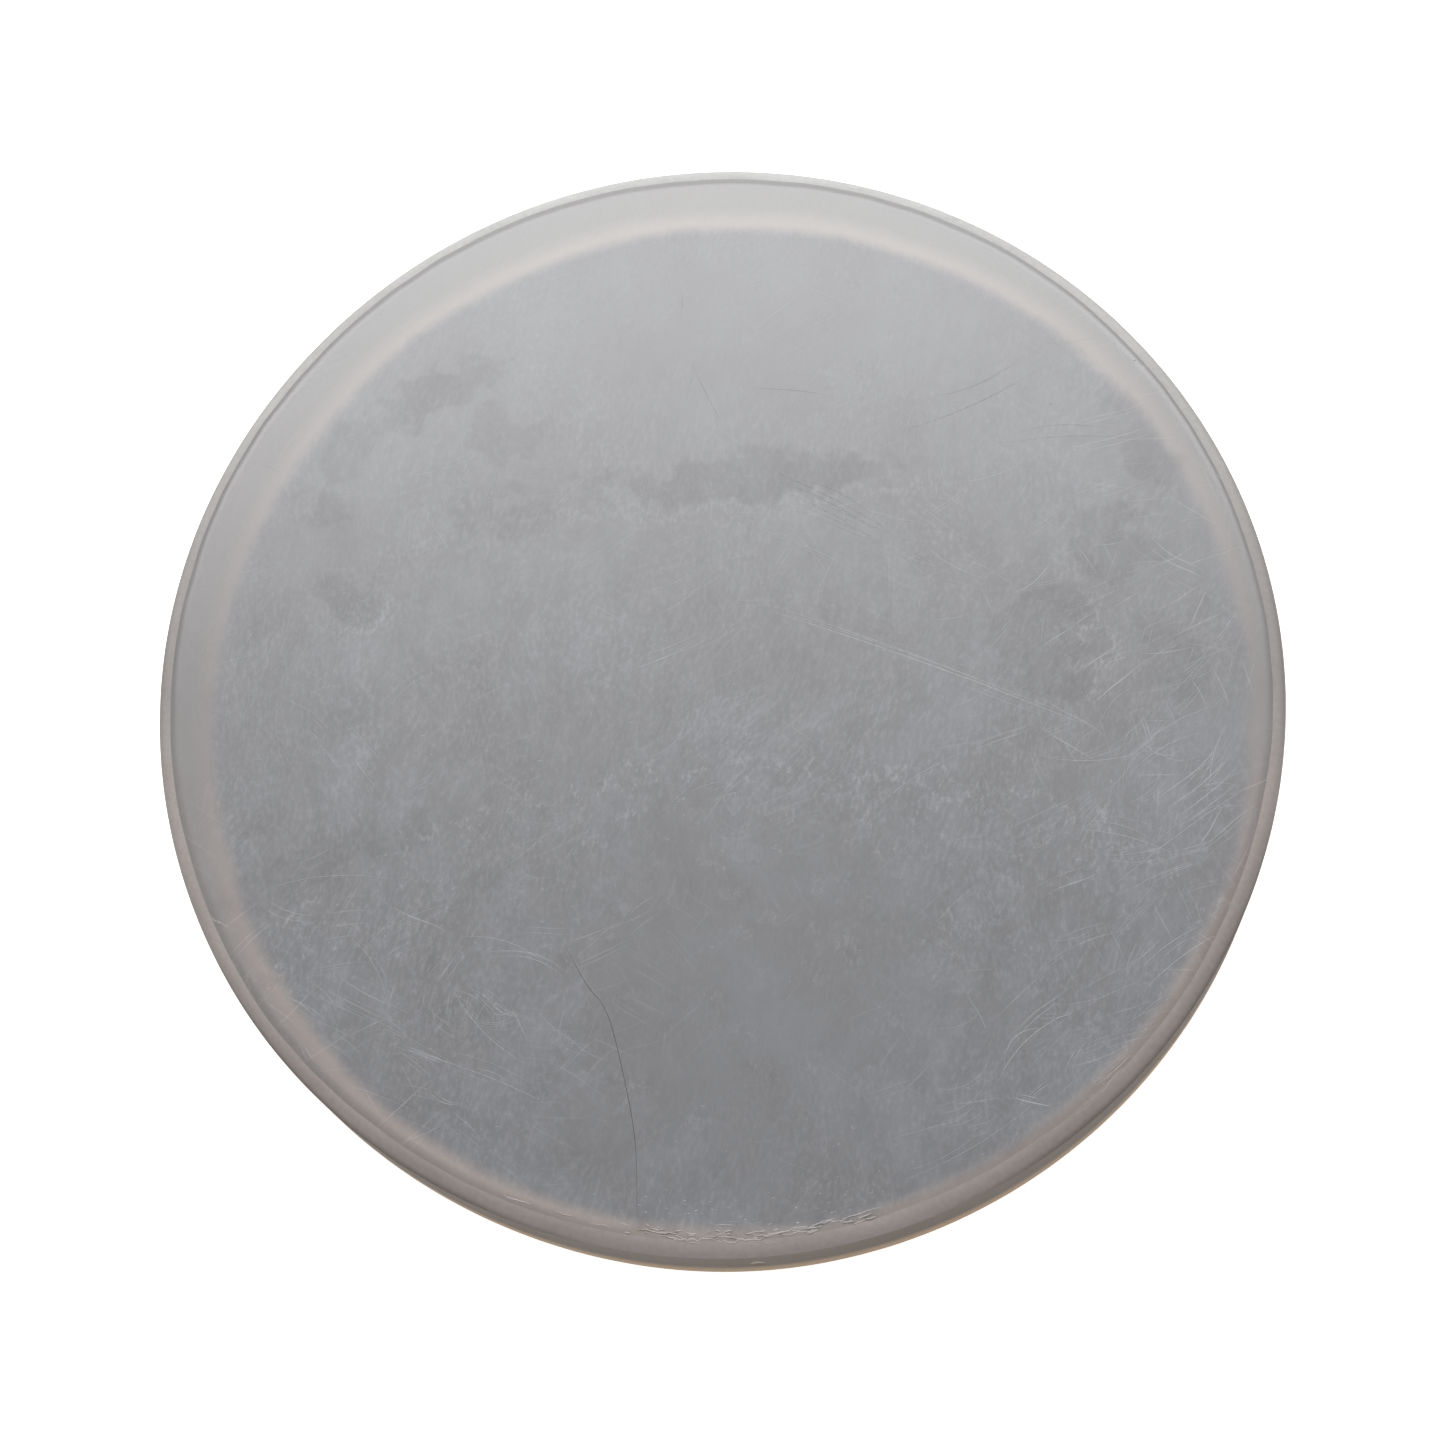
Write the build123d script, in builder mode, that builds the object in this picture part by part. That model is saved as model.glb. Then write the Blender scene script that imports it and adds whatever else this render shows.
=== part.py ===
from build123d import *

import os

# Circle template: one solid round disc of milky plastic, drawn around with a pencil.
# Frame: millimetres, +Z up, origin at the centre of the underside.

# Driving dimensions
disc_diameter = 100.0  # across the straight wall, which is the circle the template draws
disc_thickness = 13.0
top_round = 1.8  # radius worn and polished on the edge of the upper face
foot_round = 1.5  # smaller radius on the edge that stands on the paper

# Worked out from the driving dimensions
disc_radius = disc_diameter / 2
wall_height = disc_thickness - top_round - foot_round

os.makedirs("parts", exist_ok=True)

# The half section is revolved about Z, so both faces, both rounds and the wall share one axis.
with BuildPart() as template_disc:
    with BuildSketch(Plane.XZ) as half_section:
        with BuildLine():
            underside = Line((0, 0), (disc_radius - foot_round, 0))
            foot = JernArc(underside @ 1, (1, 0), foot_round, 90)
            wall = Line(foot @ 1, (disc_radius, foot_round + wall_height))
            shoulder = JernArc(wall @ 1, (0, 1), top_round, 90)
            upper_face = Line(shoulder @ 1, (0, disc_thickness))
            Line(upper_face @ 1, (0, 0))
        make_face()
    revolve(axis=Axis.Z)

template_disc.part.label = "template_disc"
export_step(template_disc.part, "parts/template_disc.step")

print(f"template_disc: {disc_diameter:.1f} mm across, {disc_thickness:.1f} mm thick")
print(f"straight wall {wall_height:.2f} mm high, volume {template_disc.part.volume:.0f} mm3")
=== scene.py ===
import math
import random

import bmesh
import bpy
from mathutils import Matrix, Vector, noise


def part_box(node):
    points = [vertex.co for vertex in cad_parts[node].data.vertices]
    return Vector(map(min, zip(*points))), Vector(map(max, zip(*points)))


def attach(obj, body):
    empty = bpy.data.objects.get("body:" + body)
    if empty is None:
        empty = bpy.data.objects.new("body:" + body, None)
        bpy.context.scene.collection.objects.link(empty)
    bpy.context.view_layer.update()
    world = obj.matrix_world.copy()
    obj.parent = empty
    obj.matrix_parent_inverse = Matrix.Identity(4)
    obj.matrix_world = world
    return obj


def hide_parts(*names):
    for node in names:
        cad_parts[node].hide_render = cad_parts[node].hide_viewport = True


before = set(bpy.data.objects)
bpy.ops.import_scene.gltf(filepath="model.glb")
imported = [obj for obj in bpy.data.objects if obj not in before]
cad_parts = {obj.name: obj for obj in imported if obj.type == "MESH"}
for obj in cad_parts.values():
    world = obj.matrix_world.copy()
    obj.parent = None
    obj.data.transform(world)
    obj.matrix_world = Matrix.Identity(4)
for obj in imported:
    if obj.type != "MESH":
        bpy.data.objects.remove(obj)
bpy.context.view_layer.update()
print("frame loaded")

mm = 0.001
discLow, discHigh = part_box("template_disc")
rimRadius = (discHigh[0] - discLow[0]) / 2 / mm
topHeight = discHigh[2] / mm

# The disc in millimetres. The two rounds are those of the CAD solid.
disc = {
    "topRound": 1.8,
    "footRound": 1.5,
    "segments": 960,
    "faceRings": 12,
    "fineRings": 18,
    "fineBand": 4.5,
    "roundRings": 10,
    "wallRings": 12,
    "underRings": 8,
    "topSkin": 0.03,  # the face lies this far under the CAD face, so that burrs stay inside the box
    "rimSkin": 0.01,
    "shoulderWander": 0.32,  # how far the worn edge of the flat moves in and out
    "wallRipple": 0.012,
    "lowSpots": [(137, 42, 0.14), (-114, 34, 0.17)],  # angle, spread in degrees, depth
    "frontAngle": -84,
    "crispFront": 0.7,  # how much less the rounding drops at the front
    "crispSpan": (8, 26),  # degrees from the front where that holds fully, and over which it then fades
    "cornerSpan": (55, 25),  # the same for the shape of the corner
    "cornerPower": 1.7,
    "mattFrom": 2,  # rings out along the rounding to where the matt moulded surface starts
    "seed": 11,
}

# Wear where the flat meets the near part of the rounded edge, in degrees round and millimetres
edgeNicks = {
    "seed": 5,
    "from": -100,
    "to": -74,
    "flakes": 46,
    "strayFlakes": 70,
    "dents": 34,
    "depth": 0.10,
    "lipHeight": 0.005,
    "lipWidth": 0.85,  # shares of the widths and whitenesses below
    "lipWhite": 0.65,
    # torn lips: from and to in degrees, distance out from the border, wander, width and whiteness
    "lips": [
        (-98.5, -93.5, 0.10, 0.045, 0.16, 0.6),
        (-96.0, -90.0, 0.40, 0.060, 0.20, 0.7),
        (-93.5, -91.5, 0.70, 0.030, 0.14, 0.5),
        (-91.5, -86.5, 0.20, 0.060, 0.14, 0.6),
        (-90.5, -84.5, 0.55, 0.060, 0.22, 0.7),
        (-87.0, -83.0, 0.85, 0.045, 0.12, 0.4),
        (-86.5, -81.0, 0.10, 0.050, 0.18, 0.8),
        (-84.0, -79.5, 0.40, 0.045, 0.14, 0.6),
        (-81.5, -76.5, 0.00, 0.045, 0.18, 0.8),
        (-77.5, -73.0, -0.15, 0.030, 0.18, 0.8),
        (-90.5, -88.0, -0.80, 0.020, 0.16, 0.7),
        (-89.0, -87.5, -1.05, 0.020, 0.12, 0.5),
        (-112.5, -109.0, 0.20, 0.020, 0.18, 0.6),
        (-107.0, -104.5, 0.10, 0.030, 0.14, 0.4),
        (-103.0, -100.5, 0.25, 0.030, 0.14, 0.4),
    ],
}

# The small moulded pip on the wall, near the front
pip = {"angle": -86.4, "height": 6.9, "width": 1.3, "tall": 2.6, "depth": 0.16}

# Scratches that can be told apart, in millimetres from the centre: ends, bow, number side by side,
# spread, line width and how white they are.
scratches = {
    "seed": 21,
    "named": [
        ((4.0, 7.6), (32.6, -3.7), 0.3, 3, 0.5, 0.11, 0.75),
        ((13.0, 4.6), (32.0, -2.7), 0.2, 4, 1.5, 0.08, 0.42),
        ((20.5, 0.9), (29.5, -3.0), -0.2, 3, 0.8, 0.09, 0.50),
        ((2.6, 21.0), (19.0, 11.6), 0.5, 4, 2.0, 0.10, 0.40),
        ((6.0, 17.6), (17.0, 12.2), 0.2, 4, 1.2, 0.08, 0.40),
        ((-7.4, 9.0), (-0.5, 12.4), -0.9, 1, 0.0, 0.10, 0.55),
        ((33.3, -18.6), (46.4, -9.0), 0.3, 2, 0.7, 0.11, 0.50),
        ((31.6, -12.5), (40.8, -15.6), 0.6, 3, 1.6, 0.11, 0.45),
        ((36.0, -27.0), (43.5, -21.5), 0.4, 3, 1.6, 0.12, 0.50),
        ((23.4, -35.6), (30.2, -29.0), 1.0, 2, 0.7, 0.14, 0.55),
        ((25.2, -36.4), (28.6, -37.3), 0.0, 2, 0.4, 0.15, 0.70),
        ((15.0, -43.6), (28.0, -36.0), -0.8, 2, 0.6, 0.09, 0.35),
        ((21.0, -12.0), (26.0, -22.0), -0.5, 2, 1.0, 0.09, 0.35),
        ((-40.0, -17.8), (-28.0, -17.0), 0.8, 1, 0.0, 0.10, 0.40),
        ((-36.0, -25.0), (-19.0, -34.0), 0.5, 4, 2.6, 0.08, 0.30),
        ((-24.5, -32.2), (-14.0, -36.4), 0.3, 3, 1.2, 0.10, 0.40),
        ((-2.5, 31.0), (0.8, 24.0), 0.0, 1, 0.0, 0.08, 0.35),
        ((2.0, 28.0), (11.0, 27.0), 0.4, 1, 0.0, 0.08, 0.35),
        ((14.0, 24.0), (30.0, 31.0), -0.9, 2, 1.6, 0.08, 0.30),
        ((24.0, 22.5), (38.0, 23.0), 0.6, 2, 1.2, 0.08, 0.30),
    ],
    # loose bundles of hairlines: middle, spread, heading in degrees and how many bundles
    "sweeps": [
        ((38, -10), (6, 10), 33, 46),
        ((38, 12), (6, 9), 20, 34),
        ((34, 22), (9, 5), 2, 14),
        ((42, -4), (4, 14), 62, 20),
        ((28, -33), (6, 4), 28, 20),
        ((-25, -30), (9, 6), -32, 34),
        ((-33, 12), (7, 12), -50, 16),
        ((12, 13), (9, 4), -33, 16),
        ((0, 0), (26, 22), 30, 30),
        ((0, 20), (24, 12), 75, 22),
    ],
    "specks": 210,
    "height": 0.004,
    "sweepHeight": 0.4,  # shares of that height
    "speckHeight": 0.8,
    "footSink": 0.002,  # how far the feet of a ridge sit in the face
}

# The one dark hairline crack: its points on the face, in millimetres
hairline = {
    "points": [(-13.2, -23.0), (-11.4, -26.3), (-9.5, -29.0), (-8.0, -34.6), (-7.0, -40.3), (-6.8, -47.0)],
    "width": 0.075,
    "height": 0.004,
    "fade": 0.35,  # the lower, the more abrupt its ends
}


def hexToLinear(code):
    channels = []
    for start in (0, 2, 4):
        value = int(code[start:start + 2], 16) / 255
        channels.append(value / 12.92 if value <= 0.04045 else ((value + 0.055) / 1.055) ** 2.4)
    return (*channels, 1.0)


def addNode(tree, kind, settings=None, inputs=None, stops=()):
    node = tree.nodes.new(kind)
    for name, value in (settings or {}).items():
        setattr(node, name, value)
    for name, value in (inputs or {}).items():
        if isinstance(value, bpy.types.NodeSocket):
            tree.links.new(value, node.inputs[name])
        else:
            node.inputs[name].default_value = value
    for index, (place, colour) in enumerate(stops):
        stop = node.color_ramp.elements[index] if index < 2 else node.color_ramp.elements.new(place)
        stop.position, stop.color = place, hexToLinear(colour)
    return node


def smoothStep(value):
    value = min(1.0, max(0.0, value))
    return value * value * (3 - 2 * value)


# Natural polyethylene, moulded and then scuffed by use: a milky blue-grey body, a lighter warm ring of
# painted light that stands in for light coming in through the edge, and a satin scratched skin.
polyethylene = {
    "bodyDeep": "6c6c6f",
    "bodyPale": "737477",
    "ring": "838281",
    "ringPeach": "96908d",
    "ringRim": "838181",
    "paintedRingWarmth": "fcf5f1",
    "scuffWhite": "d2d4d6",
    "roughness": 0.29,
    "haze": 0.012,
    "ior": 1.51,
    "ringCentre": (1.0, -2.1),  # the ring is a little off centre, wider at the far left
    "ringRadius": 45.7,
    "ringSoft": 1.5,
    "ringLeast": 0.2,
    "ringFeather": 0.5,  # how far the clouding pushes the ring's inner border about
    "skinFull": 1.15,  # how strong the mottling is on open skin, and on the ring and the quiet spots
    "skinQuiet": 0.3,
    "scuffRough": 0.5,  # how much rougher the whitest scratch is
    "scoredRelief": 0.35,
    "grainWidth": 0.20,  # millimetres across one rubbed mark, and along it
    "grainLength": 0.42,
    "grainShade": 0.16,
    "grainHeight": 0.0006,
    "mottleShade": 0.15,
    "patchSize": 14.0,
    "scratchWhite": 0.30,
    "burrWhite": 0.42,
}

# Calm patches that the rubbing has missed, darker and smoother, some with a ragged pale border on one side:
# centre, half size, turn in degrees, how dark they are, how pale the border is and the angle that it faces
calmPatches = [
    ((2.3, 19.5), (18.0, 2.9), 4, 0.21, 0.06, -90),
    ((-25.5, 28.0), (7.0, 3.2), 27, 0.22, 0.0, 0),
    ((-33.0, 23.4), (5.0, 2.8), 45, 0.15, 0.0, 0),
    ((-35.8, 17.3), (4.2, 2.8), 0, 0.16, 0.0, 0),
    ((-33.0, 9.0), (4.2, 2.6), -35, 0.16, 0.08, 0),
    ((-19.0, 24.2), (5.0, 3.4), 0, 0.12, 0.0, 0),
    ((-19.4, 17.0), (5.6, 2.9), 0, 0.12, 0.0, 0),
    ((38.8, 20.6), (3.8, 2.6), -50, 0.13, 0.0, 0),
    ((36.0, 26.0), (4.0, 2.2), -40, 0.10, 0.0, 0),
    ((35.4, 12.2), (5.0, 4.2), 0, 0.13, 0.0, 0),
    ((29.0, 3.5), (6.0, 6.2), 0, 0.11, 0.08, 0),
    ((40.0, 2.0), (3.6, 5.0), 10, 0.10, 0.0, 0),
    ((-37.0, 0.0), (6.0, 9.0), 12, 0.05, 0.03, 0),
    ((4.0, -50.0), (56.0, 43.5), 0, 0.04, 0.08, 90),
    ((-34.0, -15.5), (13.0, 2.6), 22, 0.10, 0.0, -90),
    ((8.0, -7.0), (20.0, 2.6), -8, 0.05, 0.0, 0),
]

# Where the skin is rubbed most: centre, half size, and how much
rubbedSpots = [
    ((44.0, 2.0), (26.0, 42.0), 1.0),
    ((-27.0, -27.0), (22.0, 16.0), 0.8),
    ((12.0, 14.0), (20.0, 9.0), 0.5),
    ((24.0, -33.0), (16.0, 10.0), 0.7),
]

# Where the mottling all but dies out: centre and half size
quietSpots = [
    ((3.0, -27.0), (22.0, 20.0)),
    ((3.0, 34.0), (24.0, 11.0)),
]

# Fine scratches in the skin, one set for each way that it was rubbed: angle, length and spacing in
# millimetres, and strength
rubbings = [
    (40, 24.0, 0.32, 1.0),
    (22, 20.0, 0.30, 1.0),
    (55, 16.0, 0.34, 0.8),
    (2, 18.0, 0.36, 0.7),
    (-32, 20.0, 0.32, 0.9),
    (80, 14.0, 0.36, 0.6),
    (-64, 16.0, 0.36, 0.6),
]

# Ways that the pattern's ground is bent, so that nothing on it is straight: scale, detail and reach in
# millimetres. The slow one is for the grain, the wavy one for scratches, the ragged one for patch borders.
bends = {
    "slow": (0.035, 1.0, 7.0),
    "wavy": (0.07, 2.0, 4.5),
    "ragged": (0.25, 5.0, 5.5),
}


def makeScuffedFace():
    look = polyethylene
    material = bpy.data.materials.new("milky_polyethylene_scuffed")
    material.use_nodes = True
    tree = material.node_tree
    tree.nodes.clear()
    place = addNode(tree, "ShaderNodeTexCoord")
    inMm = addNode(tree, "ShaderNodeMapping", None,
                   {"Vector": place.outputs["Object"], "Scale": (1000, 1000, 1000)})
    axes = addNode(tree, "ShaderNodeSeparateXYZ", None, {0: inMm.outputs["Vector"]})
    flat = addNode(tree, "ShaderNodeCombineXYZ", None, {0: axes.outputs[0], 1: axes.outputs[1]})
    point = flat.outputs[0]

    bent = {}
    for name, (scale, detail, reach) in bends.items():
        wander = addNode(tree, "ShaderNodeTexNoise", None,
                         {"Vector": point, "Scale": scale, "Detail": detail})
        centred = addNode(tree, "ShaderNodeVectorMath", {"operation": "SUBTRACT"},
                          {0: wander.outputs["Color"], 1: (0.5, 0.5, 0.5)})
        wide = addNode(tree, "ShaderNodeVectorMath", {"operation": "SCALE"},
                       {0: centred.outputs[0], "Scale": reach})
        moved = addNode(tree, "ShaderNodeVectorMath", {"operation": "ADD"}, {0: point, 1: wide.outputs[0]})
        bent[name] = moved.outputs[0]

    # slow clouding in the milky body
    clouds = addNode(tree, "ShaderNodeTexNoise", None,
                     {"Vector": bent["ragged"], "Scale": 1 / look["patchSize"], "Detail": 6.0,
                      "Roughness": 0.62})
    cloudShare = addNode(tree, "ShaderNodeMapRange", None,
                         {"Value": clouds.outputs["Fac"], "From Min": 0.35, "From Max": 0.65})

    # calm patches
    calm, border = None, None
    for centre, half, turn, dark, pale, facing in calmPatches:
        local = addNode(tree, "ShaderNodeMapping", {"vector_type": "TEXTURE"},
                        {"Vector": bent["ragged"], "Location": (*centre, 0),
                         "Rotation": (0, 0, math.radians(turn)),
                         "Scale": (*half, 1)})
        reach = addNode(tree, "ShaderNodeVectorMath", {"operation": "LENGTH"}, {0: local.outputs["Vector"]})
        soft = 1.1 / min(half)
        inside = addNode(tree, "ShaderNodeMapRange", {"interpolation_type": "SMOOTHSTEP"},
                         {"Value": reach.outputs["Value"], "From Min": 1 - soft, "From Max": 1.0,
                          "To Min": dark, "To Max": 0.0})
        outside = addNode(tree, "ShaderNodeMapRange", {"interpolation_type": "SMOOTHSTEP"},
                          {"Value": reach.outputs["Value"], "From Min": 1.0, "From Max": 1 + soft,
                           "To Min": pale, "To Max": 0.0})
        risen = addNode(tree, "ShaderNodeMapRange", {"interpolation_type": "SMOOTHSTEP"},
                        {"Value": reach.outputs["Value"], "From Min": 1 - soft * 0.4, "From Max": 1.0})
        ahead = (math.cos(math.radians(facing)), math.sin(math.radians(facing)), 0)
        forward = addNode(tree, "ShaderNodeVectorMath", {"operation": "DOT_PRODUCT"},
                          {0: local.outputs["Vector"], 1: ahead})
        sided = addNode(tree, "ShaderNodeMapRange", {"interpolation_type": "SMOOTHSTEP"},
                        {"Value": forward.outputs["Value"], "From Min": 0.0, "From Max": 0.6})
        around = addNode(tree, "ShaderNodeMath", {"operation": "MULTIPLY"},
                         {0: outside.outputs["Result"], 1: risen.outputs["Result"]})
        rim = addNode(tree, "ShaderNodeMath", {"operation": "MULTIPLY"},
                      {0: around.outputs[0], 1: sided.outputs["Result"]})
        if calm is None:
            calm, border = inside.outputs["Result"], rim.outputs[0]
        else:
            calmer = addNode(tree, "ShaderNodeMath", {"operation": "MAXIMUM"},
                             {0: calm, 1: inside.outputs["Result"]})
            paler = addNode(tree, "ShaderNodeMath", {"operation": "MAXIMUM"}, {0: border, 1: rim.outputs[0]})
            calm, border = calmer.outputs[0], paler.outputs[0]

    # rubbed grain, coarse enough to be seen: marks that run up the face, leaning a little
    grainTurn = addNode(tree, "ShaderNodeMapping", {"vector_type": "TEXTURE"},
                        {"Vector": bent["slow"], "Rotation": (0, 0, math.radians(-12))})
    grainStretch = addNode(tree, "ShaderNodeMapping", None,
                           {"Vector": grainTurn.outputs["Vector"],
                            "Scale": (1 / look["grainWidth"], 1 / look["grainLength"], 1)})
    grain = addNode(tree, "ShaderNodeTexNoise", None,
                    {"Vector": grainStretch.outputs["Vector"], "Scale": 0.6, "Detail": 3.0, "Roughness": 0.6})
    # it is thick in some places and thin in others
    amount = addNode(tree, "ShaderNodeTexNoise", None,
                     {"Vector": bent["ragged"], "Scale": 0.11, "Detail": 3.0})
    thick = addNode(tree, "ShaderNodeMapRange", None,
                    {"Value": amount.outputs["Fac"], "From Min": 0.35, "From Max": 0.65,
                     "To Min": 0.4, "To Max": 1.4})
    grainCentred = addNode(tree, "ShaderNodeMapRange", None,
                           {"Value": grain.outputs["Fac"], "From Min": 0.46, "From Max": 0.8,
                            "To Min": -0.15, "To Max": 1.0})
    grainHere = addNode(tree, "ShaderNodeMath", {"operation": "MULTIPLY"},
                        {0: grainCentred.outputs["Result"], 1: thick.outputs["Result"]})

    # fine crossing scratches, thickest at the right
    rubbed = None
    for centre, half, most in rubbedSpots:
        local = addNode(tree, "ShaderNodeMapping", {"vector_type": "TEXTURE"},
                        {"Vector": bent["ragged"], "Location": (*centre, 0), "Scale": (*half, 1)})
        reach = addNode(tree, "ShaderNodeVectorMath", {"operation": "LENGTH"}, {0: local.outputs["Vector"]})
        spot = addNode(tree, "ShaderNodeMapRange", {"interpolation_type": "SMOOTHSTEP"},
                       {"Value": reach.outputs["Value"], "From Min": 0.4, "From Max": 1.1,
                        "To Min": most, "To Max": 0.25})
        if rubbed is None:
            rubbed = spot.outputs["Result"]
        else:
            wider = addNode(tree, "ShaderNodeMath", {"operation": "MAXIMUM"},
                            {0: rubbed, 1: spot.outputs["Result"]})
            rubbed = wider.outputs[0]
    scratchMask = None
    for turn, length, spacing, power in rubbings:
        turned = addNode(tree, "ShaderNodeMapping", {"vector_type": "TEXTURE"},
                         {"Vector": bent["wavy"], "Location": (turn * 1.7, turn * 0.9, 0),
                          "Rotation": (0, 0, math.radians(turn))})
        stretched = addNode(tree, "ShaderNodeMapping", None,
                            {"Vector": turned.outputs["Vector"], "Scale": (1 / length, 1 / spacing, 1)})
        cells = addNode(tree, "ShaderNodeTexVoronoi", {"feature": "F1", "voronoi_dimensions": "2D"},
                        {"Vector": stretched.outputs["Vector"], "Scale": 1.0})
        tint = addNode(tree, "ShaderNodeSeparateColor", None, {0: cells.outputs["Color"]})
        # one cell in eight holds a scratch, about 0.08 mm wide
        strong = addNode(tree, "ShaderNodeMapRange", None,
                         {"Value": tint.outputs[0], "From Min": 0.875, "From Max": 1.0})
        line = addNode(tree, "ShaderNodeMapRange", {"interpolation_type": "SMOOTHSTEP"},
                       {"Value": cells.outputs["Distance"], "From Min": 0.01 / spacing,
                        "From Max": 0.06 / spacing,
                        "To Min": power, "To Max": 0.0})
        lineHere = addNode(tree, "ShaderNodeMath", {"operation": "MULTIPLY"},
                           {0: line.outputs["Result"], 1: strong.outputs["Result"]})
        if scratchMask is None:
            scratchMask = lineHere.outputs[0]
        else:
            both = addNode(tree, "ShaderNodeMath", {"operation": "MAXIMUM"},
                           {0: scratchMask, 1: lineHere.outputs[0]})
            scratchMask = both.outputs[0]
    scored = addNode(tree, "ShaderNodeMath", {"operation": "MULTIPLY"}, {0: scratchMask, 1: rubbed})

    # mottling: rubbed and unrubbed skin in feathered flecks, from 3 mm down to a fraction of one
    mottle = addNode(tree, "ShaderNodeTexNoise", None,
                     {"Vector": grainStretch.outputs["Vector"], "Scale": 0.075, "Detail": 7.0,
                      "Roughness": 0.78})
    mottleCentred = addNode(tree, "ShaderNodeMapRange", None,
                            {"Value": mottle.outputs["Fac"], "From Min": 0.2, "From Max": 0.8,
                             "To Min": -1.0, "To Max": 1.0})

    # milky body
    body = addNode(tree, "ShaderNodeMix", {"data_type": "RGBA"},
                   {"Factor": cloudShare.outputs["Result"], 6: hexToLinear(look["bodyDeep"]),
                    7: hexToLinear(look["bodyPale"])})

    # painted light: a pale ring of colour standing in for light from the wall and the rounded foot showing
    # through the face
    centre = (look["ringCentre"][0], look["ringCentre"][1], 0)
    shifted = addNode(tree, "ShaderNodeVectorMath", {"operation": "SUBTRACT"}, {0: point, 1: centre})
    ringDistance = addNode(tree, "ShaderNodeVectorMath", {"operation": "LENGTH"}, {0: shifted.outputs[0]})
    ringPlace = addNode(tree, "ShaderNodeMath", {"operation": "MULTIPLY_ADD"},
                        {0: cloudShare.outputs["Result"], 1: look["ringFeather"],
                         2: ringDistance.outputs["Value"]})
    ringEdge = look["ringRadius"] + look["ringFeather"] / 2
    ringMask = addNode(tree, "ShaderNodeMapRange", {"interpolation_type": "SMOOTHSTEP"},
                       {"Value": ringPlace.outputs[0], "From Min": ringEdge - look["ringSoft"] / 2,
                        "From Max": ringEdge + look["ringSoft"] / 2})
    ringSpan = addNode(tree, "ShaderNodeMapRange", None,
                       {"Value": ringPlace.outputs[0], "From Min": look["ringRadius"] - 0.5,
                        "From Max": look["ringRadius"] + 6.0})
    paintedRingLight = addNode(tree, "ShaderNodeValToRGB", None, {"Fac": ringSpan.outputs["Result"]},
                         [(0.0, look["ringPeach"]), (1.0, look["ringRim"]), (0.22, look["ringPeach"]),
                          (0.45, look["ring"])])
    quiet = ringMask.outputs["Result"]
    for spotCentre, spotHalf in quietSpots:
        local = addNode(tree, "ShaderNodeMapping", {"vector_type": "TEXTURE"},
                        {"Vector": bent["ragged"], "Location": (*spotCentre, 0), "Scale": (*spotHalf, 1)})
        reach = addNode(tree, "ShaderNodeVectorMath", {"operation": "LENGTH"}, {0: local.outputs["Vector"]})
        spot = addNode(tree, "ShaderNodeMapRange", {"interpolation_type": "SMOOTHSTEP"},
                       {"Value": reach.outputs["Value"], "From Min": 0.4, "From Max": 1.1,
                        "To Min": 0.9, "To Max": 0.0})
        quieter = addNode(tree, "ShaderNodeMath", {"operation": "MAXIMUM"},
                          {0: quiet, 1: spot.outputs["Result"]})
        quiet = quieter.outputs[0]
    skinShare = addNode(tree, "ShaderNodeMapRange", None,
                        {"Value": quiet, "To Min": look["skinFull"], "To Max": look["skinQuiet"]})
    mottleHere = addNode(tree, "ShaderNodeMath", {"operation": "MULTIPLY"},
                         {0: mottleCentred.outputs["Result"], 1: skinShare.outputs["Result"]})
    fleckHere = addNode(tree, "ShaderNodeMath", {"operation": "MULTIPLY"},
                        {0: grainHere.outputs[0], 1: skinShare.outputs["Result"]})
    # the painted ring light is strong at the far and near sides, where more wall is lit, and faint at the
    # left and right
    sideways = addNode(tree, "ShaderNodeMath", {"operation": "ABSOLUTE"}, {0: axes.outputs[1]})
    ringPower = addNode(tree, "ShaderNodeMapRange", None,
                        {"Value": sideways.outputs[0], "From Min": 0.0, "From Max": rimRadius,
                         "To Min": look["ringLeast"], "To Max": 1.0})
    ringShare = addNode(tree, "ShaderNodeMath", {"operation": "MULTIPLY"},
                        {0: ringMask.outputs["Result"], 1: ringPower.outputs["Result"]})
    ringed = addNode(tree, "ShaderNodeMix", {"data_type": "RGBA"},
                     {"Factor": ringShare.outputs[0], 6: body.outputs[2], 7: paintedRingLight.outputs["Color"]})

    # away from the far side the painted ring light is warmer than the body
    tintPlace = addNode(tree, "ShaderNodeMapRange", None,
                        {"Value": axes.outputs[1], "From Min": 42.0, "From Max": -8.0})
    tintShare = addNode(tree, "ShaderNodeMath", {"operation": "MULTIPLY"},
                        {0: ringMask.outputs["Result"], 1: tintPlace.outputs["Result"]})
    tinted = addNode(tree, "ShaderNodeMix", {"data_type": "RGBA", "blend_type": "MULTIPLY"},
                     {"Factor": tintShare.outputs[0], 6: ringed.outputs[2], 7: hexToLinear(look["paintedRingWarmth"])})

    # the patches, the mottling and the grain darken and lighten the skin a little, but the ring is clean
    calmShade = addNode(tree, "ShaderNodeMath", {"operation": "SUBTRACT"}, {0: 1.0, 1: calm})
    mottleShade = addNode(tree, "ShaderNodeMath", {"operation": "MULTIPLY_ADD"},
                          {0: mottleHere.outputs[0], 1: look["mottleShade"], 2: calmShade.outputs[0]})
    grainShade = addNode(tree, "ShaderNodeMath", {"operation": "MULTIPLY_ADD"},
                         {0: fleckHere.outputs[0], 1: look["grainShade"], 2: mottleShade.outputs[0]})
    shaded = addNode(tree, "ShaderNodeMix", {"data_type": "RGBA", "blend_type": "MULTIPLY"},
                     {"Factor": 1.0, 6: tinted.outputs[2], 7: grainShade.outputs[0]})

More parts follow.
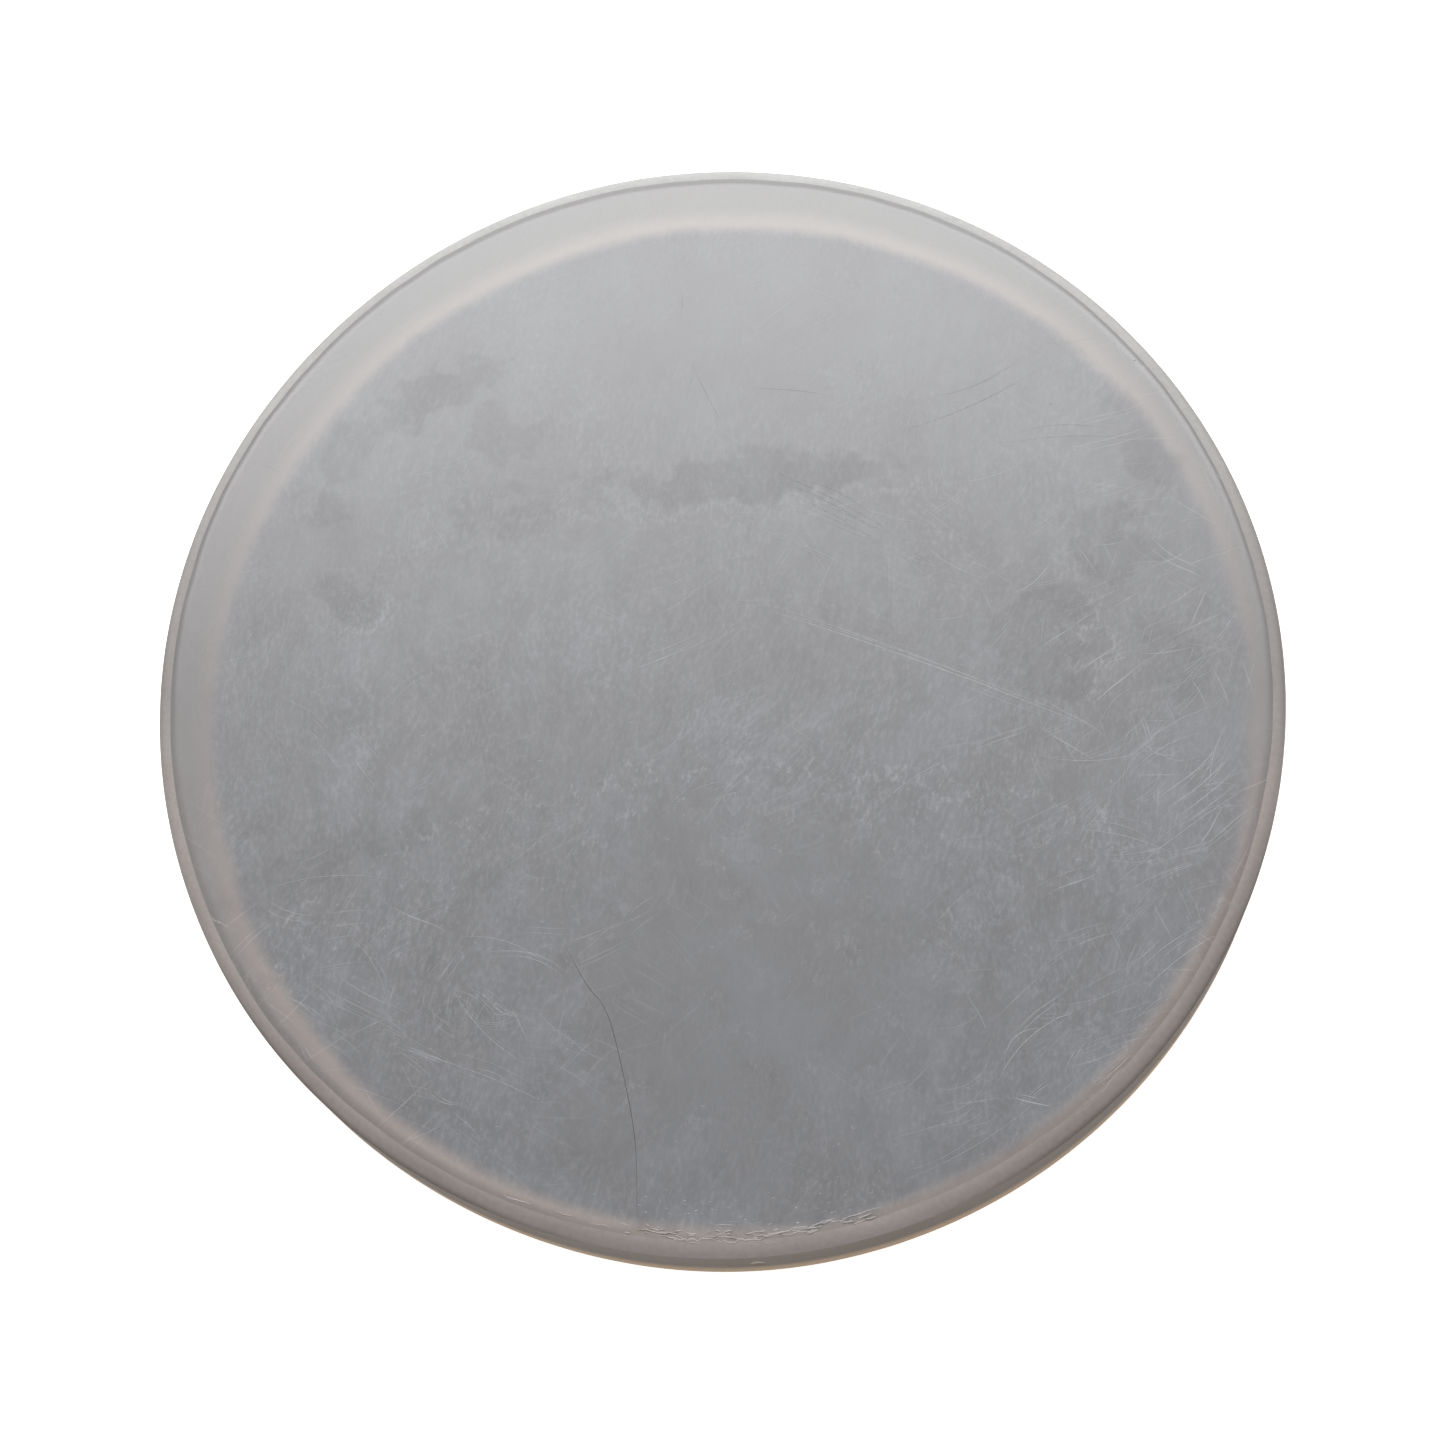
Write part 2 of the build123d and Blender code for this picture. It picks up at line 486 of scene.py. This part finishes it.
    # scratches, burrs and ragged borders scatter light, so they are whiter than the skin around them
    scuff = addNode(tree, "ShaderNodeAttribute", {"attribute_name": "scuff"})
    grit = addNode(tree, "ShaderNodeMapRange", None,
                   {"Value": grain.outputs["Fac"], "From Min": 0.4, "From Max": 0.62})
    borderPale = addNode(tree, "ShaderNodeMath", {"operation": "MULTIPLY"},
                         {0: border, 1: grit.outputs["Result"]})
    scratchPale = addNode(tree, "ShaderNodeMath", {"operation": "MULTIPLY"},
                          {0: scored.outputs[0], 1: look["scratchWhite"]})
    burrPale = addNode(tree, "ShaderNodeMath", {"operation": "MULTIPLY"},
                       {0: scuff.outputs["Fac"], 1: look["burrWhite"]})
    skinPale = addNode(tree, "ShaderNodeMath", {"operation": "MAXIMUM"},
                       {0: scratchPale.outputs[0], 1: borderPale.outputs[0]})
    whiten = addNode(tree, "ShaderNodeMath", {"operation": "MAXIMUM"},
                     {0: skinPale.outputs[0], 1: burrPale.outputs[0]})
    finalColour = addNode(tree, "ShaderNodeMix", {"data_type": "RGBA"},
                          {"Factor": whiten.outputs[0], 6: shaded.outputs[2],
                           7: hexToLinear(look["scuffWhite"])})

    # the mottling and the grain also change how rough the skin is
    mottleRough = addNode(tree, "ShaderNodeMath", {"operation": "MULTIPLY_ADD"},
                          {0: mottleHere.outputs[0], 1: look["haze"], 2: look["roughness"]})
    roughShade = addNode(tree, "ShaderNodeMath", {"operation": "MULTIPLY_ADD"},
                         {0: grainHere.outputs[0], 1: look["haze"], 2: mottleRough.outputs[0]})
    roughness = addNode(tree, "ShaderNodeMath", {"operation": "MULTIPLY_ADD", "use_clamp": True},
                        {0: whiten.outputs[0], 1: look["scuffRough"], 2: roughShade.outputs[0]})

    relief = addNode(tree, "ShaderNodeMath", {"operation": "MULTIPLY_ADD"},
                     {0: scored.outputs[0], 1: look["scoredRelief"], 2: grainHere.outputs[0]})
    bump = addNode(tree, "ShaderNodeBump", None,
                   {"Height": relief.outputs[0], "Strength": 1.0, "Distance": look["grainHeight"] * mm})
    surface = addNode(tree, "ShaderNodeBsdfPrincipled", None,
                      {"Base Color": finalColour.outputs[2], "Roughness": roughness.outputs[0],
                       "IOR": look["ior"], "Normal": bump.outputs["Normal"]})
    addNode(tree, "ShaderNodeOutputMaterial", None, {"Surface": surface.outputs["BSDF"]})
    return material


# The same plastic on the rounded edge, the wall and the underside, as it left the mould: matt and hardly
# marked. Its colour holds painted light and shade: the wall is painted dark and brownish as painted shade,
# with a painted warm glow of light at the foot, and the rounded edge is painted lighter towards the far side.
mouldedWall = {
    # painted light and shade up the wall: a painted warm glow at the foot and painted shade in the dark brown
    # middle
    "foot": "9a846c",
    "deep": "5e554e",
    "top": "6f6862",
    # the rounded edge, painted lighter from the near side of the disc to the far side as painted light, and
    # darker at the
    # left and right as painted shade: next to the face, and next to the wall
    "inner": [(0.0, "9a9390"), (1.0, "ababaa"), (0.4, "9a9390"),
              (0.5, "8e8a88"), (0.62, "969290"), (0.75, "a09e9c")],
    "outer": [(0.0, "8f8885"), (1.0, "a09f9e"), (0.4, "8a8380"),
              (0.5, "78726f"), (0.62, "807c7a"), (0.75, "8c8a88")],
    "pipPale": "8f877f",
    "roughness": 0.5,
    "specular": 0.03,
    "markWidth": 0.5,  # millimetres between the faint drawn marks that run up the wall
    "roundingFrom": (2.0, 1.0),  # under the face, in millimetres: where the wall's colour gives way
    "innerFrom": (1.1, 0.25),  # and where the outer colour gives way to the inner one
    "unevenShade": 0.08,
    "unevenRough": 0.05,
}


def makeMouldedWall():
    look = mouldedWall
    material = bpy.data.materials.new("milky_polyethylene_moulded_painted_shading")
    material.use_nodes = True
    tree = material.node_tree
    tree.nodes.clear()
    place = addNode(tree, "ShaderNodeTexCoord")
    inMm = addNode(tree, "ShaderNodeMapping", None,
                   {"Vector": place.outputs["Object"], "Scale": (1000, 1000, 1000)})
    axes = addNode(tree, "ShaderNodeSeparateXYZ", None, {0: inMm.outputs["Vector"]})
    wallUp = addNode(tree, "ShaderNodeMapRange", None,
                     {"Value": axes.outputs[2], "From Min": 0.0, "From Max": topHeight})
    # painted warm glow of light at the foot, painted shade in the dark middle of the wall
    paintedWallLightAndShade = addNode(tree, "ShaderNodeValToRGB", None, {"Fac": wallUp.outputs["Result"]},
                         [(0.0, look["foot"]), (1.0, look["top"]), (0.22, look["foot"]), (0.42, look["deep"]),
                          (0.80, look["deep"])])
    wallAcross = addNode(tree, "ShaderNodeMapRange", None,
                         {"Value": axes.outputs[1], "From Min": -rimRadius, "From Max": rimRadius})
    # painted light towards the far side and painted shade at the left and right of the rounded edge
    inner = addNode(tree, "ShaderNodeValToRGB", None, {"Fac": wallAcross.outputs["Result"]}, look["inner"])
    outer = addNode(tree, "ShaderNodeValToRGB", None, {"Fac": wallAcross.outputs["Result"]}, look["outer"])
    inward = addNode(tree, "ShaderNodeMapRange", {"interpolation_type": "SMOOTHSTEP"},
                     {"Value": axes.outputs[2], "From Min": topHeight - look["innerFrom"][0],
                      "From Max": topHeight - look["innerFrom"][1]})
    rounding = addNode(tree, "ShaderNodeMix", {"data_type": "RGBA"},
                       {"Factor": inward.outputs["Result"], 6: outer.outputs["Color"],
                        7: inner.outputs["Color"]})
    onRounding = addNode(tree, "ShaderNodeMapRange", {"interpolation_type": "SMOOTHSTEP"},
                         {"Value": axes.outputs[2], "From Min": topHeight - look["roundingFrom"][0],
                          "From Max": topHeight - look["roundingFrom"][1]})
    edgeColour = addNode(tree, "ShaderNodeMix", {"data_type": "RGBA"},
                         {"Factor": onRounding.outputs["Result"], 6: paintedWallLightAndShade.outputs["Color"],
                          7: rounding.outputs[2]})
    cloud = addNode(tree, "ShaderNodeTexNoise", None,
                    {"Vector": inMm.outputs["Vector"], "Scale": 0.12, "Detail": 4.0})
    drawn = addNode(tree, "ShaderNodeMapping", None,
                    {"Vector": inMm.outputs["Vector"],
                     "Scale": (1 / look["markWidth"], 1 / look["markWidth"], 0.15)})
    marks = addNode(tree, "ShaderNodeTexNoise", None,
                    {"Vector": drawn.outputs["Vector"], "Scale": 1.0, "Detail": 4.0})
    mixed = addNode(tree, "ShaderNodeMath", {"operation": "ADD"},
                    {0: cloud.outputs["Fac"], 1: marks.outputs["Fac"]})
    shade = addNode(tree, "ShaderNodeMapRange", None,
                    {"Value": mixed.outputs[0], "From Min": 0.7, "From Max": 1.3,
                     "To Min": 1 - look["unevenShade"], "To Max": 1 + look["unevenShade"]})
    marked = addNode(tree, "ShaderNodeMix", {"data_type": "RGBA", "blend_type": "MULTIPLY"},
                     {"Factor": 1.0, 6: edgeColour.outputs[2], 7: shade.outputs["Result"]})
    # the pip is paler than the wall round it
    pipTurn = math.radians(pip["angle"])
    fromPip = addNode(tree, "ShaderNodeVectorMath", {"operation": "DISTANCE"},
                      {0: inMm.outputs["Vector"],
                       1: (rimRadius * math.cos(pipTurn), rimRadius * math.sin(pipTurn), pip["height"])})
    onPip = addNode(tree, "ShaderNodeMapRange", {"interpolation_type": "SMOOTHSTEP"},
                    {"Value": fromPip.outputs["Value"], "From Min": pip["width"] * 0.35,
                     "From Max": pip["width"] * 0.6,
                     "To Min": 1.0, "To Max": 0.0})
    wallPale = addNode(tree, "ShaderNodeMix", {"data_type": "RGBA"},
                       {"Factor": onPip.outputs["Result"], 6: marked.outputs[2],
                        7: hexToLinear(look["pipPale"])})
    rough = addNode(tree, "ShaderNodeMapRange", None,
                    {"Value": mixed.outputs[0], "From Min": 0.7, "From Max": 1.3,
                     "To Min": look["roughness"] - look["unevenRough"],
                     "To Max": look["roughness"] + look["unevenRough"]})
    bump = addNode(tree, "ShaderNodeBump", None,
                   {"Height": marks.outputs["Fac"], "Strength": 0.3, "Distance": 0.00003})
    surface = addNode(tree, "ShaderNodeBsdfPrincipled", None,
                      {"Base Color": wallPale.outputs[2], "Roughness": rough.outputs["Result"],
                       "Specular IOR Level": look["specular"], "Normal": bump.outputs["Normal"]})
    addNode(tree, "ShaderNodeOutputMaterial", None, {"Surface": surface.outputs["BSDF"]})
    return material


def outerRadius(angle):
    # the disc is not truly round: the wall stands in a little at two places
    radius = rimRadius - disc["rimSkin"]
    for middle, spread, depth in disc["lowSpots"]:
        away = abs((math.degrees(angle) - middle + 180) % 360 - 180)
        radius -= depth * smoothStep(1 - away / spread)
    return radius


def shoulderFlat(angle):
    # where the flat ends at this angle, in and out as the edge is worn
    around = Vector((math.cos(angle) * 2.2, math.sin(angle) * 2.2, 3.7))
    fine = Vector((math.cos(angle) * 14, math.sin(angle) * 14, 9.1))
    wander = noise.noise(around) * 0.7 + noise.noise(fine) * 0.3
    return outerRadius(angle) - disc["topRound"] - disc["shoulderWander"] * (0.4 + wander)


def shoulderDrop(angle):
    # how far down the wall the rounding reaches: less at the front, where the corner is crisp
    away = abs((math.degrees(angle) - disc["frontAngle"] + 180) % 360 - 180)
    near, fade = disc["crispSpan"]
    return disc["topRound"] - disc["crispFront"] * (1 - smoothStep((away - near) / fade))


def shoulderFall(angle, share):
    # how much of that drop is reached at a share of the way out: a true round, but a crisp corner near
    # the front
    away = abs((math.degrees(angle) - disc["frontAngle"] + 180) % 360 - 180)
    near, fade = disc["cornerSpan"]
    crisp = 1 - smoothStep((away - near) / fade)
    return crisp * share ** disc["cornerPower"] + (1 - crisp) * (1 - math.sqrt(max(0.0, 1 - share * share)))


def faceHeight(x, y):
    # height of the upper surface over a point, on the flat or down the rounded edge
    top = topHeight - disc["topSkin"]
    radius = math.hypot(x, y)
    angle = math.atan2(y, x)
    flat = shoulderFlat(angle)
    if radius <= flat:
        return top
    share = min(1.0, (radius - flat) / (outerRadius(angle) - flat))
    return top - shoulderDrop(angle) * shoulderFall(angle, share)


def ringsAt(angle):
    # radius and height of every ring at one angle, from near the middle of the face out and back under
    outer = outerRadius(angle)
    top = topHeight - disc["topSkin"]
    flat = shoulderFlat(angle)
    drop = shoulderDrop(angle)
    fineFrom = flat - disc["fineBand"]
    places = [(fineFrom * step / disc["faceRings"], top) for step in range(1, disc["faceRings"] + 1)]
    for step in range(1, disc["fineRings"] + 1):
        places.append((fineFrom + disc["fineBand"] * step / disc["fineRings"], top))
    for step in range(1, disc["roundRings"] + 1):
        share = math.sin(math.pi / 2 * step / disc["roundRings"])
        places.append((flat + (outer - flat) * share, top - drop * shoulderFall(angle, share)))
    wallTop = top - drop
    for step in range(1, disc["wallRings"] + 1):
        places.append((outer, wallTop + (disc["footRound"] - wallTop) * step / disc["wallRings"]))
    for step in range(1, disc["roundRings"] + 1):
        turn = math.pi / 2 * step / disc["roundRings"]
        places.append((outer - disc["footRound"] * (1 - math.cos(turn)),
                       disc["footRound"] * (1 - math.sin(turn))))
    foot = outer - disc["footRound"]
    places += [(foot * (1 - step / disc["underRings"]), 0.0) for step in range(1, disc["underRings"])]
    return places


def makeDisc():
    chooser = random.Random(disc["seed"])
    mesh = bmesh.new()
    dents = []
    for index in range(edgeNicks["dents"]):
        angle = math.radians(chooser.uniform(edgeNicks["from"], edgeNicks["to"]))
        radius = shoulderFlat(angle) + chooser.uniform(-0.25, 0.5)
        dents.append((Vector((radius * math.cos(angle), radius * math.sin(angle))), chooser.uniform(0.3, 0.8),
                      chooser.uniform(0.4, 1.0) * edgeNicks["depth"]))
    pipAngle = math.radians(pip["angle"])
    scuffedRings = disc["faceRings"] + disc["fineRings"] + disc["mattFrom"]
    columns = []
    for segment in range(disc["segments"]):
        angle = 2 * math.pi * segment / disc["segments"]
        column = []
        for radius, height in ringsAt(angle):
            x, y = radius * math.cos(angle), radius * math.sin(angle)
            if height > topHeight - disc["topRound"] - 0.2 and radius > 40:
                for spot, reach, depth in dents:
                    away = (Vector((x, y)) - spot).length / reach
                    if away < 1:
                        height -= depth * smoothStep(1 - away)
            if radius > rimRadius - 1:
                turn = (angle - pipAngle + math.pi) % (2 * math.pi) - math.pi
                side = turn * rimRadius / (pip["width"] / 2)
                up = (height - pip["height"]) / (pip["tall"] / 2)
                away = math.hypot(side, up)
                ripple = noise.noise(Vector((x * 0.5, y * 0.5, height * 0.9)))
                inward = disc["wallRipple"] * (0.5 + 0.5 * ripple)
                if away < 1:
                    inward += pip["depth"] * smoothStep((1 - away) * 1.6)
                x, y = x * (1 - inward / radius), y * (1 - inward / radius)
            column.append(mesh.verts.new((x * mm, y * mm, height * mm)))
        columns.append(column)
    top = mesh.verts.new((0, 0, (topHeight - disc["topSkin"]) * mm))
    under = mesh.verts.new((0, 0, 0))
    for index, column in enumerate(columns):
        after = columns[(index + 1) % len(columns)]
        mesh.faces.new((top, column[0], after[0]))
        for ring in range(len(column) - 1):
            strip = mesh.faces.new((column[ring], column[ring + 1], after[ring + 1], after[ring]))
            strip.material_index = 0 if ring + 1 < scuffedRings else 1
        mesh.faces.new((column[-1], under, after[-1])).material_index = 1
    return finishMesh(mesh, "worn_disc")


def finishMesh(mesh, name):
    bmesh.ops.recalc_face_normals(mesh, faces=mesh.faces)
    data = bpy.data.meshes.new(name)
    mesh.to_mesh(data)
    mesh.free()
    for face in data.polygons:
        face.use_smooth = True
    piece = bpy.data.objects.new(name, data)
    bpy.context.scene.collection.objects.link(piece)
    return piece


def addRidge(mesh, layer, route, width, height, white, fade=0.6):
    # a thin closed ridge that tapers to nothing at both ends, as a blade or grit throws up beside a scratch
    rows = []
    last = len(route) - 1
    for index, (x, y) in enumerate(route):
        before, after = route[max(0, index - 1)], route[min(last, index + 1)]
        along = Vector((after[0] - before[0], after[1] - before[1])).normalized()
        share = index / last
        taper = max(0.04, math.sin(math.pi * share) ** fade)
        half = width / 2 * taper
        row = []
        for side, lift in ((-1, -scratches["footSink"]), (0, height * taper), (1, -scratches["footSink"])):
            px, py = x - along.y * half * side, y + along.x * half * side
            vertex = mesh.verts.new((px * mm, py * mm, (faceHeight(px, py) + lift) * mm))
            vertex[layer] = white
            row.append(vertex)
        rows.append(row)
    for index in range(last):
        here, there = rows[index], rows[index + 1]
        for side in range(3):
            other = (side + 1) % 3
            mesh.faces.new((here[side], there[side], there[other], here[other]))
    mesh.faces.new(rows[0])
    mesh.faces.new(reversed(rows[-1]))


def bowedRoute(start, end, bow, steps):
    start, end = Vector(start), Vector(end)
    along = end - start
    across = Vector((-along.y, along.x)).normalized()
    shares = [step / steps for step in range(steps + 1)]
    return [tuple(start + along * t + across * bow * 4 * t * (1 - t)) for t in shares]


def insideFace(route, limit):
    return all(math.hypot(x, y) < limit for x, y in route)


def makeScratches():
    chooser = random.Random(scratches["seed"])
    mesh = bmesh.new()
    layer = mesh.verts.layers.float.new("scuff")
    high = scratches["height"]
    for start, end, bow, count, spread, width, white in scratches["named"]:
        for line in range(count):
            shift = 0 if count == 1 else spread * (line / (count - 1) - 0.5) + chooser.uniform(-0.1, 0.1)
            along = Vector((end[0] - start[0], end[1] - start[1]))
            across = Vector((-along.y, along.x)).normalized() * shift
            head = 0 if line == 0 else chooser.uniform(0, 0.35)
            tail = 1 if line == 0 else chooser.uniform(0.6, 1)
            first = Vector(start) + along * head + across
            second = Vector(start) + along * tail + across * chooser.uniform(0.6, 1.2)
            route = bowedRoute(first, second, bow + chooser.uniform(-0.1, 0.1), 16)
            if insideFace(route, rimRadius - 0.6):
                share = 1 if line == 0 else chooser.uniform(0.5, 0.9)
                addRidge(mesh, layer, route, width, high, white * share)
    for (middleX, middleY), (halfX, halfY), heading, sweeps in scratches["sweeps"]:
        for sweep in range(sweeps):
            x, y = middleX + chooser.gauss(0, halfX), middleY + chooser.gauss(0, halfY)
            way = math.radians(heading + chooser.gauss(0, 14))
            length = chooser.uniform(2.5, 7.5) + 8 * chooser.random() ** 3
            bow = chooser.gauss(0, 0.06) * length
            across = Vector((-math.sin(way), math.cos(way)))
            for line in range(chooser.randint(1, 5)):
                lean = way + chooser.gauss(0, 0.04)
                step = Vector((math.cos(lean), math.sin(lean))) * length * chooser.uniform(0.25, 0.5)
                middle = Vector((x, y)) + across * chooser.gauss(0, 0.5) + step * chooser.uniform(-0.5, 0.5)
                route = bowedRoute(middle - step, middle + step, bow, 10)
                white = 0.25 + 0.60 * chooser.random() ** 2
                if insideFace(route, rimRadius - 0.8):
                    addRidge(mesh, layer, route, chooser.uniform(0.045, 0.085),
                             high * scratches["sweepHeight"], white)
    for index in range(scratches["specks"]):
        turn, reach = chooser.uniform(0, 2 * math.pi), (rimRadius - 2) * math.sqrt(chooser.random())
        x, y = reach * math.cos(turn), reach * math.sin(turn)
        heading, length = chooser.uniform(0, math.pi), chooser.uniform(0.12, 0.5)
        step = Vector((math.cos(heading), math.sin(heading))) * length / 2
        route = bowedRoute(Vector((x, y)) - step, Vector((x, y)) + step, 0, 2)
        addRidge(mesh, layer, route, chooser.uniform(0.06, 0.14), high * scratches["speckHeight"],
                 chooser.uniform(0.3, 0.9))
    makeFray(mesh, layer)
    return finishMesh(mesh, "scratch_burrs")


def edgeRoute(chooser, start, end, offset, wander, steps):
    # a line along the border of the flat, between two angles in degrees, that wanders in and out
    route, drift = [], 0.0
    for step in range(steps + 1):
        drift = drift * 0.8 + chooser.gauss(0, wander)
        angle = math.radians(start + (end - start) * step / steps)
        radius = shoulderFlat(angle) + offset + drift
        route.append((radius * math.cos(angle), radius * math.sin(angle)))
    return route


def makeFray(mesh, layer):
    # torn lips and flakes along the worn border of the flat, thickest at the front
    chooser = random.Random(edgeNicks["seed"])
    for start, end, offset, wander, width, white in edgeNicks["lips"]:
        steps = max(8, int(abs(end - start) * 4))
        route = edgeRoute(chooser, start, end, offset, wander, steps)
        addRidge(mesh, layer, route, width * edgeNicks["lipWidth"], edgeNicks["lipHeight"],
                 white * edgeNicks["lipWhite"])
    for index in range(edgeNicks["flakes"] + edgeNicks["strayFlakes"]):
        dense = index < edgeNicks["flakes"]
        middle = chooser.uniform(edgeNicks["from"], edgeNicks["to"])
        if not dense:
            middle += chooser.gauss(0, 7)
        offset = chooser.gauss(0.1, 0.25) if dense else chooser.gauss(-1.6, 0.9)
        length = chooser.uniform(0.3, 1.6) if dense else chooser.uniform(0.12, 0.5)
        width = chooser.uniform(0.08, 0.22) if dense else chooser.uniform(0.06, 0.13)
        half = math.degrees(length / 2 / 48)
        route = edgeRoute(chooser, middle - half, middle + half, offset, 0.04, 5)
        addRidge(mesh, layer, route, width, edgeNicks["lipHeight"], chooser.uniform(0.2, 0.75))


def makeHairline():
    mesh = bmesh.new()
    layer = mesh.verts.layers.float.new("scuff")
    control = [Vector(point) for point in hairline["points"]]
    route = []
    for index in range(len(control) - 1):
        before = control[max(0, index - 1)]
        here, there = control[index], control[index + 1]
        beyond = control[min(len(control) - 1, index + 2)]
        for step in range(8):
            t = step / 8
            bend = (here * 2 + (there - before) * t + (before * 2 - here * 5 + there * 4 - beyond) * t * t
                    + (here * 3 - before - there * 3 + beyond) * t * t * t) / 2
            route.append(tuple(bend))
    route.append(tuple(control[-1]))
    addRidge(mesh, layer, route, hairline["width"], hairline["height"], 0.0, hairline["fade"])
    return finishMesh(mesh, "dark_hairline")


# A fine crack that has taken in graphite and dirt: nearly black, with no shine
def makeCrackGrime():
    material = bpy.data.materials.new("graphite_filled_crack")
    material.use_nodes = True
    tree = material.node_tree
    tree.nodes.clear()
    place = addNode(tree, "ShaderNodeTexCoord")
    # the dirt comes and goes along the crack, in stretches about 4 mm long
    gaps = addNode(tree, "ShaderNodeTexNoise", None,
                   {"Vector": place.outputs["Object"], "Scale": 250.0, "Detail": 3.0})
    shade = addNode(tree, "ShaderNodeValToRGB", None, {"Fac": gaps.outputs["Fac"]},
                    [(0.3, "35332f"), (0.7, "565350")])
    surface = addNode(tree, "ShaderNodeBsdfPrincipled", None,
                      {"Base Color": shade.outputs["Color"], "Roughness": 0.8, "Specular IOR Level": 0.2})
    addNode(tree, "ShaderNodeOutputMaterial", None, {"Surface": surface.outputs["BSDF"]})
    return material


# Matt white card under the object: no grain that the eye can find, only a faint unevenness
def makeCard():
    material = bpy.data.materials.new("matt_white_card")
    material.use_nodes = True
    tree = material.node_tree
    tree.nodes.clear()
    place = addNode(tree, "ShaderNodeTexCoord")
    cloud = addNode(tree, "ShaderNodeTexNoise", None,
                    {"Vector": place.outputs["Object"], "Scale": 6.0, "Detail": 2.0})
    shade = addNode(tree, "ShaderNodeValToRGB", None, {"Fac": cloud.outputs["Fac"]},
                    [(0.3, "f1f1f0"), (0.7, "f4f4f3")])
    surface = addNode(tree, "ShaderNodeBsdfPrincipled", None,
                      {"Base Color": shade.outputs["Color"], "Roughness": 0.9, "Specular IOR Level": 0.1,
                       "Emission Color": (1, 1, 1, 1), "Emission Strength": studio["floorGlow"]})
    addNode(tree, "ShaderNodeOutputMaterial", None, {"Surface": surface.outputs["BSDF"]})
    return material


scuffedFace = makeScuffedFace()
wornDisc = makeDisc()
wornDisc.data.materials.append(scuffedFace)
wornDisc.data.materials.append(makeMouldedWall())
print("disc made:", len(wornDisc.data.polygons), "faces")

burrs = makeScratches()
burrs.data.materials.append(scuffedFace)
crack = makeHairline()
crack.data.materials.append(makeCrackGrime())
print("surface marks made:", len(burrs.data.polygons), "faces")

for piece in (wornDisc, burrs, crack):
    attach(piece, "root")
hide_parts("template_disc")

# Studio: white card, a broad soft light beyond the object, and even light all round
studio = {
    "floorSize": 6.0,
    "floorGlow": 0.7,
    "ambient": 0.55,
}

# the strip whose soft reflection brightens the far half of the face, and the dim broad window behind it;
# angles are in degrees, the tilt from straight up towards +Y and the turn towards +X
lamps = {
    "strip": {"power": 5.4, "tilt": 27.5, "turn": -4, "away": 0.9, "wide": 0.75, "deep": 0.18},
    "window": {"power": 7.5, "tilt": 62, "turn": -4, "away": 1.2, "wide": 1.1, "deep": 0.8},
}

bpy.ops.mesh.primitive_plane_add(size=studio["floorSize"], location=(0, 0, discLow[2] - 0.00005))
floor = bpy.context.object
floor.name = "floor_card"
floor.data.materials.append(makeCard())

world = bpy.data.worlds.new("even_light")
bpy.context.scene.world = world
world.use_nodes = True
world.node_tree.nodes["Background"].inputs["Color"].default_value = (1, 1, 1, 1)
world.node_tree.nodes["Background"].inputs["Strength"].default_value = studio["ambient"]


def aimAt(thing, place, target):
    thing.location = place
    thing.rotation_euler = (Vector(target) - Vector(place)).to_track_quat("-Z", "Y").to_euler()


for lampName, lamp in lamps.items():
    tilt, turn = math.radians(lamp["tilt"]), math.radians(lamp["turn"])
    light = bpy.data.objects.new(lampName, bpy.data.lights.new(lampName, "AREA"))
    light.data.shape = "RECTANGLE"
    light.data.size, light.data.size_y = lamp["wide"], lamp["deep"]
    light.data.energy = lamp["power"]
    light.visible_camera = False
    reach = lamp["away"] * math.sin(tilt)
    aimAt(light, (reach * math.sin(turn), reach * math.cos(turn), lamp["away"] * math.cos(tilt)), (0, 0, 0))
    bpy.context.scene.collection.objects.link(light)

# The camera looks steeply down, a little from the right of straight ahead, and is rolled a little
view = {
    "azimuth": -11.7,
    "elevation": 74.3,
    "roll": -12.2,
    "distance": 307.9,
    "aimX": 0.5,
    "aimY": -3.2,
    "lens": 87.2,
}
azimuth, elevation = math.radians(view["azimuth"]), math.radians(view["elevation"])
towards = Vector((math.sin(azimuth) * math.cos(elevation), math.cos(azimuth) * math.cos(elevation),
                  -math.sin(elevation)))
aim = Vector((view["aimX"] * mm, view["aimY"] * mm, discHigh[2]))
camera = bpy.data.objects.new("camera", bpy.data.cameras.new("camera"))
camera.data.lens = view["lens"]
camera.data.sensor_width = 36
camera.data.clip_start = 0.01
bpy.context.scene.collection.objects.link(camera)
levelled = towards.to_track_quat("-Z", "Y").to_matrix().to_4x4()
rolled = levelled @ Matrix.Rotation(math.radians(view["roll"]), 4, "Z")
camera.matrix_world = Matrix.Translation(aim - towards * view["distance"] * mm) @ rolled
bpy.context.scene.camera = camera
bpy.context.scene.view_settings.view_transform = "Standard"
print("studio ready")
